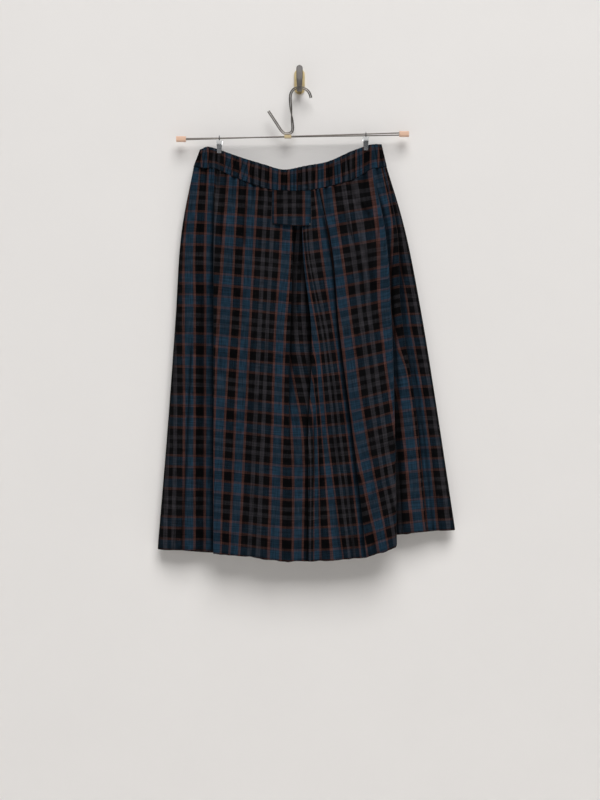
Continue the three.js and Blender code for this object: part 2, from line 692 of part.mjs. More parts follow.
addPart("waistband", makeWaistband(), FINISH.band);
addPart("front_panel", makeFrontPanel(), FINISH.cloth);
addPart("back_panel", makeBackPanel(), FINISH.cloth);
addPart("waist_patch", makePatch(), FINISH.patch);

addPart("rod_front", makeRod(1), FINISH.wire);
addPart("rod_back", makeRod(-1), FINISH.wire);
addPart("cap_left", makeCap(LEFT_CAP), FINISH.cap);
addPart("cap_right", makeCap(RIGHT_CAP), FINISH.cap);
addPart("hook_wire_inner", makeHookWire(-1), FINISH.wire);
addPart("hook_wire_outer", makeHookWire(1), FINISH.wire);
addPart("hook_tie", fromSolid(makeTie()), FINISH.brass);

for (const clip of CLIPS) {
  addPart(`clip_${clip.name}_front_leaf`, makeLeaf(clip, 1), FINISH.chrome);
  addPart(`clip_${clip.name}_back_leaf`, makeLeaf(clip, -1), FINISH.chrome);
  addPart(`clip_${clip.name}_ring`, makeRing(clip), FINISH.chrome);
  addPart(`clip_${clip.name}_axle`, makeAxle(clip), FINISH.chrome);
}

addPart("wall_plate", makePlate(), FINISH.brass);
addPart("wall_prong", makeProng(), FINISH.prong);

export default garment;
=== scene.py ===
"""Looks of a gathered plaid skirt that hangs by two clips from a wire hanger on a wall hook.

The tables are in millimetres, as the frame's own shapes are, and MM takes them to metres. A
depth is the distance from the wall, which is the plane Y = 0, towards the viewer.
"""

import logging
import math
from dataclasses import dataclass, field
from enum import Enum
from typing import Any, Callable, Sequence

import bmesh
import bpy
import numpy as np
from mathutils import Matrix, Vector


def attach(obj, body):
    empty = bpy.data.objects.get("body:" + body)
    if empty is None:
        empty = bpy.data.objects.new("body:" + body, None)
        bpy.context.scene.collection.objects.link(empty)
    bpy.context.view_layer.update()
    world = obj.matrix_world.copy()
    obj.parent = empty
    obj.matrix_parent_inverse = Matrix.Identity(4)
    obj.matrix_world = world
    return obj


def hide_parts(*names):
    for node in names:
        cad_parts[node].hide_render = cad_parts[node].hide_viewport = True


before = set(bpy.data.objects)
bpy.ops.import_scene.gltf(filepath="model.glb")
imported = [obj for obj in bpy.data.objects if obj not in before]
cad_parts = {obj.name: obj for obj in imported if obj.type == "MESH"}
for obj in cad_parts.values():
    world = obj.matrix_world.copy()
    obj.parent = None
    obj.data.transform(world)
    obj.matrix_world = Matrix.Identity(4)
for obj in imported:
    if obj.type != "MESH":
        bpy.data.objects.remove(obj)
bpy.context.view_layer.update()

LOG = logging.getLogger("skirt")
MM = 0.001
BODY = "root"
CLOTH_MAP = "cloth"
# The UV map that carries painted fold shade, a factor that darkens the cloth's base colour in hollows and
# beside folds
PAINTED_SHADE_MAP = "hollows"

Colour = tuple[float, float, float]


# Numbers


def lerp(a: Any, b: Any, share: Any) -> Any:
    """Gives the value at a share of the way from a to b."""
    return a + (b - a) * share


def clamp01(value: Any) -> Any:
    """Keeps a number or an array between 0 and 1."""
    return np.clip(value, 0.0, 1.0)


def smoothstep(value: Any, low: float = 0.0, high: float = 1.0) -> Any:
    """Rises softly from 0 at low to 1 at high."""
    share = clamp01((value - low) / (high - low))
    return share * share * (3 - 2 * share)


def bell(value: Any) -> Any:
    """Gives 1 at zero and falls off softly on both sides."""
    return np.exp(-value * value)


def along(places: Sequence[float], values: Sequence[float], at: Any) -> Any:
    """Gives smooth values between the stations of a row.

    Args:
        places: where each station is, in rising order.
        values: the value at each station.
        at: the places that are asked for.

    Returns:
        The value at each place of at.
    """
    spot, value = np.asarray(places, float), np.asarray(values, float)
    last = len(spot) - 1
    at = np.clip(np.asarray(at, float), spot[0], spot[-1])
    i = np.clip(np.searchsorted(spot, at, side="right"), 1, last)
    start, end = spot[i - 1], spot[i]
    p = (at - start) / (end - start)
    has_before, has_after = i >= 2, i < last
    previous = np.where(has_before, spot[np.maximum(i - 2, 0)], end)
    following = np.where(has_after, spot[np.minimum(i + 1, last)], start)
    before = np.where(has_before, value[np.maximum(i - 2, 0)], value[i])
    after = np.where(has_after, value[np.minimum(i + 1, last)], value[i - 1])
    lead = 0.5 * (end - start) / (start - previous)
    tail = 0.5 * (end - start) / (following - end)
    cube, square = p**3, p**2
    return (
        before * (-lead * cube + 2 * lead * square - lead * p)
        + value[i - 1] * ((1 + lead) * cube - (1.5 + 2 * lead) * square + (lead - 0.5) * p + 1)
        + value[i] * (-(1 + tail) * cube + (1.5 + tail) * square + 0.5 * p)
        + after * (tail * cube - tail * square)
    )


# The sines of a wander: how strong each is, its pace, and how far the seed turns it
WANDER_SINES = ((0.5, 1.0, 1.0), (0.3, 2.37, 2.1), (0.2, 4.91, 3.7))


def wander(place: Any, seed: float) -> Any:
    """Gives a slow, uneven wave between about -1 and 1."""
    return sum(share * np.sin(pace * place + turn * seed) for share, pace, turn in WANDER_SINES)


# Shaders


class Value:
    """An output of a shader node that takes part in Python expressions."""

    def __init__(self, shader: "Shader", socket: bpy.types.NodeSocket) -> None:
        """Keeps the socket and the shader that it belongs to."""
        self.shader = shader
        self.socket = socket

    def maths(self, operation: str, *operands: Any) -> "Value":
        """Adds a Math node that works on this value and the others.

        Args:
            operation: the Math node's operation.
            operands: all of the node's inputs, in order.

        Returns:
            The result.
        """
        inputs = dict(enumerate(operands))
        return self.shader.add("ShaderNodeMath", inputs, {"operation": operation})

    def __add__(self, other: Any) -> "Value":
        """Adds."""
        return self.maths("ADD", self, other)

    __radd__ = __add__

    def __mul__(self, other: Any) -> "Value":
        """Multiplies."""
        return self.maths("MULTIPLY", self, other)

    __rmul__ = __mul__

    def __sub__(self, other: Any) -> "Value":
        """Subtracts the other value."""
        return self.maths("SUBTRACT", self, other)

    def __rsub__(self, other: Any) -> "Value":
        """Subtracts this value from the other."""
        return self.maths("SUBTRACT", other, self)

    def __truediv__(self, other: Any) -> "Value":
        """Divides by the other value."""
        return self.maths("DIVIDE", self, other)

    def sine(self) -> "Value":
        """Gives the sine."""
        return self.maths("SINE", self)

    def size(self) -> "Value":
        """Gives the value without its sign."""
        return self.maths("ABSOLUTE", self)

    def fraction(self) -> "Value":
        """Gives what is left after the whole part is taken off."""
        return self.maths("FRACT", self)


class Shader:
    """A material that is built node by node around one Principled surface."""

    def __init__(self, name: str) -> None:
        """Makes an empty material with that name."""
        self.material = bpy.data.materials.new(name)
        self.material.use_nodes = True
        self.tree = self.material.node_tree
        self.tree.nodes.clear()

    def add(
        self,
        kind: str,
        inputs: dict[int | str, Any] | None = None,
        settings: dict[str, Any] | None = None,
        out: int | str = 0,
    ) -> Value:
        """Adds a node.

        Args:
            kind: the node's type.
            inputs: a number, colour or Value for each named or numbered socket.
            settings: the node's own settings, which are set first. stops is a ramp's list of
                places and colours, and ramp is how it goes from one to the next.
            out: the output that is wanted.

        Returns:
            That output.
        """
        node = self.tree.nodes.new(kind)
        for key, setting in (settings or {}).items():
            if key == "stops":
                self._set_stops(node.color_ramp, setting)
            elif key == "ramp":
                node.color_ramp.interpolation = setting
            else:
                setattr(node, key, setting)
        for key, value in (inputs or {}).items():
            if isinstance(value, Value):
                self.tree.links.new(value.socket, node.inputs[key])
            else:
                node.inputs[key].default_value = value
        return Value(self, node.outputs[out])

    @staticmethod
    def _set_stops(ramp: bpy.types.ColorRamp, stops: Sequence[tuple[float, Colour]]) -> None:
        """Gives a colour ramp its stops.

        Args:
            ramp: the ramp.
            stops: the place and the colour of each stop, in rising order.
        """
        while len(ramp.elements) > 1:
            ramp.elements.remove(ramp.elements[-1])
        for i, (place, colour) in enumerate(stops):
            element = ramp.elements[0] if i == 0 else ramp.elements.new(place)
            element.position = place
            element.color = (*colour, 1)

    def spot(self) -> Value:
        """Gives the place on the piece, in metres."""
        return self.add("ShaderNodeTexCoord", out="Object")

    def noise(self, scale: float, detail: float = 2, place: Value | None = None) -> Value:
        """Gives soft noise between 0 and 1.

        Args:
            scale: how many blots there are to a metre.
            detail: how many finer layers it has.
            place: where to read it, or the place on the piece.

        Returns:
            The noise.
        """
        inputs = {"Vector": place or self.spot(), "Scale": scale, "Detail": detail}
        return self.add("ShaderNodeTexNoise", inputs)

    def split(self, vector: Value) -> tuple[Value, Value, Value]:
        """Gives the three parts of a vector."""
        node = self.add("ShaderNodeSeparateXYZ", {0: vector}).socket.node
        return tuple(Value(self, node.outputs[i]) for i in range(3))

    def join(self, x: Any, y: Any, z: Any = 0.0) -> Value:
        """Makes a vector of three numbers."""
        return self.add("ShaderNodeCombineXYZ", {0: x, 1: y, 2: z})

    def mix(self, share: Any, a: Any, b: Any, blend: str = "MIX") -> Value:
        """Mixes two colours.

        Args:
            share: how much of b there is.
            a: the first colour.
            b: the second colour.
            blend: the Mix node's way of mixing.

        Returns:
            The mixed colour.
        """
        paint = {6: a, 7: b}
        paint = {k: v if isinstance(v, Value) else (*v, 1) for k, v in paint.items()}
        settings = {"data_type": "RGBA", "blend_type": blend}
        return self.add("ShaderNodeMix", {0: share, **paint}, settings, out=2)

    def shade(self, colour: Value, lightness: Value) -> Value:
        """Makes a colour lighter or darker by a varying factor."""
        grey = self.join(lightness, lightness, lightness)
        return self.mix(1.0, colour, grey, "MULTIPLY")

    def bump(
        self, height: Value, distance: float, strength: float = 1.0, under: Value | None = None
    ) -> Value:
        """Turns a height between 0 and 1 into a normal.

        Args:
            height: the height.
            distance: how far 1 stands out, in metres.
            strength: how much of it shows.
            under: the normal of a coarser relief that this one lies on.

        Returns:
            The normal.
        """
        inputs = {"Height": height, "Distance": distance, "Strength": strength}
        if under:
            inputs["Normal"] = under
        return self.add("ShaderNodeBump", inputs)

    def surface(self, sockets: dict[str, Any]) -> bpy.types.Material:
        """Closes the material with its surface.

        Args:
            sockets: a value for each named socket of the Principled surface.

        Returns:
            The finished material.
        """
        surface = self.add("ShaderNodeBsdfPrincipled", sockets)
        output = self.tree.nodes.new("ShaderNodeOutputMaterial")
        self.tree.links.new(surface.socket, output.inputs["Surface"])
        return self.material


# Finishes


def screen(red: int, green: int, blue: int) -> Colour:
    """Turns a colour as it is seen on a screen into a linear one."""
    shares = [v / 255 for v in (red, green, blue)]
    return tuple(v / 12.92 if v <= 0.04045 else ((v + 0.055) / 1.055) ** 2.4 for v in shares)


class Yarn(Enum):
    """The dyed yarns of the check."""

    RUST = screen(72, 47, 42)
    TEAL = screen(28, 48, 63)
    BLACK = screen(6, 6, 7)
    CHARCOAL = screen(10, 10, 11)
    GREY = screen(47, 45, 48)


@dataclass(frozen=True)
class Stripe:
    """One stripe of the check, the same in the warp and the weft."""

    yarn: Yarn
    width: float


COLOUR_BAR = (Stripe(Yarn.RUST, 4.9), Stripe(Yarn.TEAL, 16.2), Stripe(Yarn.RUST, 4.9))
GREY_BLOCK = (
    Stripe(Yarn.CHARCOAL, 12.0),
    Stripe(Yarn.GREY, 8.5),
    Stripe(Yarn.CHARCOAL, 7.5),
    Stripe(Yarn.GREY, 8.5),
    Stripe(Yarn.CHARCOAL, 12.0),
)
SETT = (*COLOUR_BAR, Stripe(Yarn.BLACK, 16.5), *COLOUR_BAR, *GREY_BLOCK)
REPEAT = sum(stripe.width for stripe in SETT)
BAR_MIDDLE = sum(stripe.width for stripe in COLOUR_BAR) / 2
GREY_MIDDLE = REPEAT - BAR_MIDDLE - sum(stripe.width for stripe in GREY_BLOCK) / 2


@dataclass(frozen=True)
class CheckCloth:
    """A plain-woven check, with painted fold shade in its base colour. The cloth map counts metres from
    the middle of a colour bar.
    """

    name: str
    light: float = 1.0
    thread: float = 0.85
    drift: float = 1.0
    relief: float = 0.25
    warp_share: float = 0.65
    weave_contrast: float = 0.4
    crumple: float = 3.2
    wrinkles: tuple[float, float] = (95.0, 38.0)
    slubs: float = 430.0
    slub_run: float = 30.0
    slub_light: float = 1.3
    blotch_light: float = 0.4
    darkening: float = 0.5

    def _stripes(self, shader: Shader, place: Value, drift: Value) -> Value:
        """Gives the colour of the yarn at a place across the stripes.

        Args:
            shader: the material's shader.
            place: the place across, in metres.
            drift: how far the yarns have slipped, in metres.

        Returns:
            The yarn's colour.
        """
        share = (place + drift) / (REPEAT * MM) + BAR_MIDDLE / REPEAT
        stops, edge = [], 0.0
        for stripe in SETT:
            stops.append((edge / REPEAT, stripe.yarn.value))
            edge += stripe.width
        settings = {"ramp": "CONSTANT", "stops": stops}
        return shader.add("ShaderNodeValToRGB", {0: share.fraction()}, settings)

    def make(self) -> bpy.types.Material:
        """Builds the material.

        Returns:
            The finished material.
        """
        s = Shader(self.name)
        across, up, _ = s.split(s.add("ShaderNodeUVMap", settings={"uv_map": CLOTH_MAP}))
        # Painted shade: the fold shade map darkens the base colour in hollows and beside folds
        light, _, _ = s.split(s.add("ShaderNodeUVMap", settings={"uv_map": PAINTED_SHADE_MAP}))
        slow = s.noise(9, 1, s.join(across, up))
        drift = (slow - 0.5) * (self.drift * 2 * MM)
        warp = self._stripes(s, across, drift)
        weft = self._stripes(s, up, drift)
        pitch = math.pi / (self.thread * MM)
        ends, picks = (across * pitch).sine(), (up * pitch).sine()
        over = ends * picks * self.weave_contrast + self.warp_share
        slub = (
            s.noise(1, 1, s.join(across * self.slubs, up * self.slub_run))
            + s.noise(1, 1, s.join(across * self.slub_run, up * self.slubs))
        )
        blotch = s.noise(14, 3, s.join(across, up))
        tone = slub * self.slub_light + blotch * self.blotch_light - self.darkening
        # tone is the yarns' own uneven colour; light is the painted fold shade
        colour = s.shade(s.mix(over, weft, warp), tone * light * self.light)
        height = over * ends.size() + (1 - over) * picks.size() + slub * 0.4
        fine, coarse = self.wrinkles
        long_wrinkle = s.noise(1, 3, s.join(across * fine, up * coarse))
        round_wrinkle = s.noise(coarse, 2, s.join(across, up))
        crumpled = s.bump(long_wrinkle * 0.7 + round_wrinkle * 0.5, self.crumple * MM)
        return s.surface(
            {
                "Base Color": colour,
                "Roughness": blotch * 0.1 + 0.82,
                "Specular IOR Level": 0.03,
                "Sheen Weight": 0.02,
                "Sheen Roughness": 0.45,
                "Normal": s.bump(height, self.relief * MM, 0.6, crumpled),
            }
        )


@dataclass(frozen=True)
class Metal:
    """Drawn, plated or polished metal."""

    name: str
    colour: Colour
    roughness: float
    grain: float = 900.0
    wear: float = 0.12
    knurl: float = 0.0

    def make(self) -> bpy.types.Material:
        """Builds the material.

        Returns:
            The finished material.
        """
        s = Shader(self.name)
        x, y, z = s.split(s.spot())
        fine = s.noise(1, 2, s.join(x * self.grain, y * self.grain, z * self.grain * 0.15))
        cloud = s.noise(70, 3)
        colour = s.shade(s.mix(0.0, self.colour, self.colour), cloud * 0.3 + 0.85)
        height = fine
        if self.knurl:
            turn = 2 * math.pi / (self.knurl * MM)
            rows = ((x + z + y) * turn).sine() * ((x - z - y) * turn).sine()
            height = rows * 0.5 + 0.5 + fine * 0.3
            # Painted shade and highlight: the colour darkens in the knurl's grooves and lightens on its
            # ridges, following the knurl's height
            colour = s.shade(colour, rows * 0.25 + 0.8)
        return s.surface(
            {
                "Base Color": colour,
                "Metallic": 1.0,
                "Roughness": fine * self.wear + cloud * 0.08 + self.roughness,
                "Normal": s.bump(height, (0.25 if self.knurl else 0.03) * MM),
            }
        )


@dataclass(frozen=True)
class Plain:
    """A matt or satin coloured material with fine grain: plastic, thread or plaster."""

    name: str
    colour: Colour
    roughness: float = 0.55
    grain: float = 300.0
    relief: float = 0.05
    mottle: float = 0.12

    def make(self) -> bpy.types.Material:
        """Builds the material.

        Returns:
            The finished material.
        """
        s = Shader(self.name)
        cloud = s.noise(self.grain * 0.1, 3)
        fine = s.noise(self.grain, 3)
        colour = s.mix(0.0, self.colour, self.colour)
        return s.surface(
            {
                "Base Color": s.shade(colour, cloud * self.mottle + (1 - self.mottle / 2)),
                "Roughness": fine * 0.12 + self.roughness - 0.06,
                "Normal": s.bump(fine, self.relief * MM),
            }
        )


# Cloth sheets


def to_object(bm: bmesh.types.BMesh, name: str) -> bpy.types.Object:
    """Turns a finished mesh into an object of the scene.

    Args:
        bm: the mesh, which is freed.
        name: the object's name.

    Returns:
        The object.
    """
    mesh = bpy.data.meshes.new(name)
    bm.to_mesh(mesh)
    bm.free()
    piece = bpy.data.objects.new(name, mesh)
    bpy.context.scene.collection.objects.link(piece)
    return piece


@dataclass
class Sheet:
    """The points of one piece of cloth, row by row from its top edge.

    points holds X, depth and Z, and cloth holds the place across and up on the check, all in
    millimetres. outward is 1 where the cloth faces the viewer and -1 where it faces the wall.
    Each of shade_reaches says how far a fold's painted shade falls on the cloth beside it, and how much a
    millimetre of it darkens the colour. darkest_painted_shade is the least light that the painted shade in
    a hollow keeps.
    """

    points: np.ndarray
    cloth: np.ndarray
    outward: Any = 1.0
    shade_reaches: tuple[tuple[float, float], ...] = ((5.0, 0.5), (22.0, 0.036))
    darkest_painted_shade: float = 0.28

    def _painted_fold_shade(self) -> np.ndarray:
        """Finds the painted fold shade: how much light reaches each point past the folds beside it, as a
        factor that darkens the base colour.

        Returns:
            1 where the cloth is free, and less in a hollow.
        """
        clear = np.ones(self.points.shape[:2])
        outward = np.broadcast_to(self.outward, clear.shape)
        for row, side, light in zip(self.points, outward, clear):
            out = row[:, 1] * side
            share = np.abs(np.gradient(row[:, 0])) + 0.01
            away = row[:, None, 0] - row[None, :, 0]
            for reach, gain in self.shade_reaches:
                near = np.exp(-((away / reach) ** 2)) * (side[:, None] == side[None, :]) * share
                light -= gain * np.maximum(0, near @ out / near.sum(axis=1) - out)
        return np.maximum(clear, self.darkest_painted_shade)

    def build(self, name: str, wall: float, smooth: int = 1, ring: bool = False) -> bpy.types.Object:
        """Makes the cloth as a thin shell.

        Args:
            name: the piece's name.
            wall: the cloth's thickness.
            smooth: levels of the subdivision that rounds its folds.
            ring: whether the last column meets the first.

        Returns:
            The piece.
        """
        rows, columns = self.points.shape[0] - 1, self.points.shape[1] - 1
        bm = bmesh.new()
        bmesh.ops.create_grid(bm, x_segments=columns, y_segments=rows, size=0.5)
        # The second map carries the painted fold shade, which darkens the base colour in hollows and
        # beside folds
        layer, hollow = (bm.loops.layers.uv.new(uv) for uv in (CLOTH_MAP, PAINTED_SHADE_MAP))
        light = self._painted_fold_shade()
        places = {}
        for vertex in bm.verts:
            column = round((vertex.co.x + 0.5) * columns)
            row = round((0.5 - vertex.co.y) * rows)
            places[vertex] = (row, column)
        for face in bm.faces:
            for loop in face.loops:
                place = places[loop.vert]
                loop[layer].uv = self.cloth[place] * MM
                loop[hollow].uv = (light[place], place[0] / rows)
        for vertex, place in places.items():
            x, depth, z = self.points[place]
            vertex.co = Vector((x, -depth, z)) * MM
        if ring:
            bmesh.ops.remove_doubles(bm, verts=bm.verts, dist=0.01 * MM)
        for face in bm.faces:
            face.smooth = True
        piece = to_object(bm, name)
        subdivide = piece.modifiers.new("soften", "SUBSURF")
        subdivide.levels = subdivide.render_levels = smooth
        subdivide.uv_smooth = "NONE"
        solid = piece.modifiers.new("wall", "SOLIDIFY")
        solid.thickness = wall * MM
        solid.offset = 0
        return piece


def lay(row: Callable[[float], tuple[np.ndarray, np.ndarray]], levels: np.ndarray) -> Sheet:
    """Lays a sheet of cloth row by row.

    Args:
        row: gives the points of a row and their places on the check.
        levels: the levels of the rows, from the seam to the hem.

    Returns:
        The sheet.
    """
    points, cloth = zip(*(row(float(t)) for t in levels))
    return Sheet(np.array(points), np.array(cloth))


def roll(free: Any, edge: float, q: Any) -> Any:
    """Rounds a depth off to that of the side seam's edge, where q is 0."""
    return edge + (free - edge) * np.sqrt(1 - (1 - q) ** 2)


def dress(piece: bpy.types.Object, material: bpy.types.Material) -> None:
    """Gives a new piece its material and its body.

    Args:
        piece: the piece.
        material: its material.
    """
    piece.data.materials.clear()
    piece.data.materials.append(material)
    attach(piece, BODY)
    LOG.info("%s: %d faces", piece.name, len(piece.data.polygons))


# Waistband


@dataclass(frozen=True)
class BandStation:
    """A place along the waistband: its edges and how far its walls lie from the hanger."""

    top_x: float
    top_z: float
    seam_x: float
    seam_z: float
    front: float
    back: float


@dataclass
class Waistband:
    """The gathered band round the waist, one ring of cloth over an elastic."""

    hang: float = 24.0
    pinch: float = 1.8
    wall: float = 1.6
    rows: int = 10
    pitch_front: float = 9.0
    pitch_back: float = 12.0
    steps: int = 420
    # How far and how strongly the painted shade of the gathers darkens the band's colour
    band_shade_reaches: tuple[tuple[float, float], ...] = ((4.5, 0.75), (20.0, 0.02))
    swell: float = 4.6
    plump: float = 1.1
    clips: tuple[float, float] = (-151.0, 125.0)
    clip_half: float = 5.0
    clip_ease: float = 14.0
    side_rise: float = 16.0
    # How unevenly the gathers are spaced and how unevenly they stand: how much, over what length
    stray: tuple[float, float] = (0.9, 31.0)
    jitter: tuple[float, float] = (0.3, 12.0)
    uneven: tuple[float, float] = (0.45, 13.0)
    stations: tuple[BandStation, ...] = (
        BandStation(-187, -133, -199, -165, 1.8, -1.8),
        BandStation(-173, -128, -180, -168, 2.8, -2.8),
        BandStation(-157, -131, -162, -168, 1.8, -1.8),
        BandStation(-145, -135, -152, -171, 1.8, -1.8),
        BandStation(-108, -150, -120, -187, 13, -6),
        BandStation(-66, -164, -70, -207, 21, -10),
        BandStation(-29, -174, -30, -213, 24, -11),
        BandStation(12, -167, 12, -213, 24, -11),
        BandStation(54, -158, 58, -204, 20, -9),
        BandStation(94, -139, 98, -191, 11, -6),
        BandStation(119, -128, 121, -178, 1.8, -1.8),
        BandStation(131, -124, 135, -170, 1.8, -1.8),
        BandStation(143, -123, 150, -167, 2.8, -2.8),
        BandStation(154, -123, 164, -165, 1.8, -1.8),
    )
    # Where threads of the check lie on the front: X, and the place across the check
    threads: tuple[tuple[float, float], ...] = (
        (-193, -220), (-179, -191.5), (-134, -117), (-103, -74.5), (-46, 0), (-12, 42.5),
        (38.5, 117), (72, 159.5), (112, 234), (164, 310),
    )
    back_gain: float = 1.35
    check_rise: float = -2.0

    def at(self, p: Any, w: Any) -> tuple[Any, Any, Any, Any]:
        """Gives the band's middle line.

        Args:
            p: the share of the way from the left side to the right one.
            w: the share of the way down from the top edge to the seam.

        Returns:
            X, Z and how far the front and the back wall lie from the hanger's plane.
        """
        spots = np.linspace(0, 1, len(self.stations))

        def curve(key: str) -> Any:
            """Follows one column of the stations."""
            return along(spots, [getattr(s, key) for s in self.stations], p)

        x = lerp(curve("top_x"), curve("seam_x"), w)
        z = lerp(curve("top_z"), curve("seam_z"), w)
        front = np.maximum(self.pinch, curve("front"))
        return x, z, front, np.minimum(-self.pinch, curve("back"))

    def seam_under(self, x: Any) -> tuple[Any, Any, Any]:
        """Gives the band's lower edge under a point.

        Args:
            x: the point's X.

        Returns:
            The edge's Z and the depths of its front and back wall.
        """
        seam_x, seam_z, front, back = self.at(np.linspace(0, 1, 401), 1.0)
        return (
            np.interp(x, seam_x, seam_z),
            self.hang + np.interp(x, seam_x, front),
            self.hang + np.interp(x, seam_x, back),
        )

    def _gather(self, p: Any, pitch: float, w: float) -> Any:
        """Gives how far the gathers stand out, nothing in the clips and at the sides.

        Args:
            p: the share of the way from the left side to the right one.
            pitch: how far apart the gathers are.
            w: the share of the way down from the top edge to the seam.

        Returns:
            The swing of the cloth at each place.
        """
        x = self.at(p, 0.0)[0]
        nearest = np.min([np.abs(x - clip) for clip in self.clips], axis=0)
        free = clamp01((nearest - self.clip_half) / self.clip_ease)
        free = free * clamp01(p * self.side_rise) * clamp01((1 - p) * self.side_rise)
        (strays, stray_run), (jitters, jitter_run) = self.stray, self.jitter
        phase = x / pitch + strays * wander(x / stray_run, 0.4) + jitters * wander(x / jitter_run, 2.2 + w)
        depth = 0.7 + self.uneven[0] * wander(x / self.uneven[1], 1.3)
        ridge = np.abs(np.sin(math.pi * phase)) ** self.plump
        return self.swell * free * depth * ridge * (0.75 + 0.6 * w * (1 - w))

    def sheet(self) -> Sheet:
        """Lays the ring of cloth.

        Returns:
            Its points and its place on the check.
        """
        points, cloth, faces = [], [], []
        for w in np.linspace(0, 1, self.rows + 1):
            row = []
            for pitch, face in ((self.pitch_front, 1), (self.pitch_back, -1)):
                p = (np.arange(self.steps) + 0.5) / self.steps
                x, z, front, back = self.at(p, w)
                swing = self._gather(p, pitch, w)
                depth = self.hang + (front + swing if face > 0 else back - swing)
                row.append(np.stack([x, depth, z], axis=1)[::face])
            tips = [self.at(p, w) for p in (0.0, 1.0)]
            left, right = [np.array([[x, self.hang, z]]) for x, z, _, _ in tips]
            ring = np.concatenate([left, row[0], right, row[1], left])
            points.append(ring)
            cloth.append(self._check(ring, len(row[0]), w))
            faces.append(np.where(np.arange(len(ring)) < len(row[0]) + 2, 1.0, -1.0))
        return Sheet(np.array(points), np.array(cloth), np.array(faces), self.band_shade_reaches)

    def _check(self, ring: np.ndarray, front: int, w: float) -> np.ndarray:
        """Gives a row's place on the check.

        Args:
            ring: the row's points.
            front: how many of them are on the front.
            w: the share of the way down.

        Returns:
            The place across and up for each point.
        """
        spots, places = zip(*self.threads)
        across = np.interp(ring[:, 0], spots, places)
        turn = front + 1
        gone = np.abs(np.diff(ring[turn:, 0], prepend=ring[turn, 0]))
        across[turn:] = across[turn] + np.cumsum(gone) * self.back_gain
        _, top, _, _ = self.at(0.5, 0.0)
        _, low, _, _ = self.at(0.5, 1.0)
        up = np.full(len(ring), (1 - w) * (top - low) + self.check_rise)
        return np.stack([across, up], axis=1)

    def build(self, finish: CheckCloth) -> bpy.types.Object:
        """Makes and dresses the band.

        Args:
            finish: its cloth.

        Returns:
            The piece.
        """
        piece = self.sheet().build("band_cloth", self.wall, ring=True)
        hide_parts("waistband")
        dress(piece, finish.make())
        return piece


# Front panel

LEVELS = (0, 0.17, 0.39, 0.66, 1)
EDGE_DEPTH = (24, 21, 20, 20, 22)

Five = tuple[float, float, float, float, float]


@dataclass(frozen=True)
class Fold:
    """A long fold of the front, at the seam, the hip, the thigh, the knee and the hem.

    x is where its edge shows, tuck the cloth hidden behind it, before and after the depths on
    its left and right, shown_left and shown_right the places on the check there. crown bows
    the cloth up to the next fold, and hem is the hem's Z on each side.
    """

    name: str
    x: Five
    tuck: Five
    before: Five
    after: Five
    shown_left: Five
    shown_right: Five
    crown: float
    hem: tuple[float, float]


FOLDS = (
    Fold(
        "left side", (-199, -222, -233, -247, -267), (0, 0, 0, 0, 0),
        (24, 29, 31, 33, 36), (24, 29, 31, 33, 36),
        (-5.7, -18, -25.6, -44.6, -59.7), (-5.7, -18, -25.6, -44.6, -59.7), 3, (-885, -885),
    ),
    Fold(
        "left pleat", (-159, -161, -161, -161, -161), (0, 40, 52, 60, 68),
        (27, 31, 35, 39, 43), (31, 45, 53, 59, 65),
        (47.4, 48.4, 49.3, 49.3, 49.3), (81.5, 89, 97, 104, 112), 5, (-887, -890),
    ),
    Fold(
        "box pleat left", (-12, -12, -17, -20, -20), (0, 52, 40, 6, 0),
        (47, 59, 65, 66, 68), (43, 45, 51, 64, 68),
        (244.6, 248, 255, 256.5, 259), (285, 300, 295, 262, 259), 0, (-904, -904),
    ),
    Fold(
        "box pleat right", (4, 6, 22, 16, 16), (0, 52, 48, 30, 20),
        (43, 45, 53, 60, 64), (46, 58, 66, 68, 71),
        (301, 318.5, 335, 297.7, 298.6), (411, 403.9, 388.7, 322.3, 317.6), 3, (-904, -904),
    ),
    Fold(
        "long crease", (37, 60, 73, 97, 124), (0, 30, 38, 34, 10),
        (44, 52, 57, 62, 69), (46, 63, 71, 75, 73),
        (472, 479.3, 473, 473, 472), (498.6, 507.8, 496.4, 499.6, 477.8), 4, (-897, -896),
    ),
    Fold(
        "right pleat", (136, 160, 171, 177, 181), (0, 24, 28, 26, 30),
        (27, 52, 63, 68, 71), (25, 37, 43, 46, 47),
        (576, 583, 595, 578, 543), (578, 584, 599, 566, 549), 2, (-877, -856),
    ),
    Fold(
        "right crease", (156, 183, 190, 217, 238), (0, 10, 16, 18, 18),
        (26, 37, 42, 44, 45), (25, 31, 33, 35, 37),
        (595, 606, 609, 602, 599), (626, 645, 623, 620, 616), 3, (-851, -850),
    ),
    Fold(
        "right side", (164, 198, 228, 258, 293), (0, 0, 0, 0, 0),
        (24, 27, 29, 31, 33), (24, 27, 29, 31, 33),
        (654, 665.5, 668, 666, 668), (654, 665.5, 668, 666, 668), 0, (-849, -849),
    ),
)


@dataclass(frozen=True)
class Thread:
    """A thread of the check between two folds: its place across, and its X at each level."""

    fold: int
    across: float
    x: Five


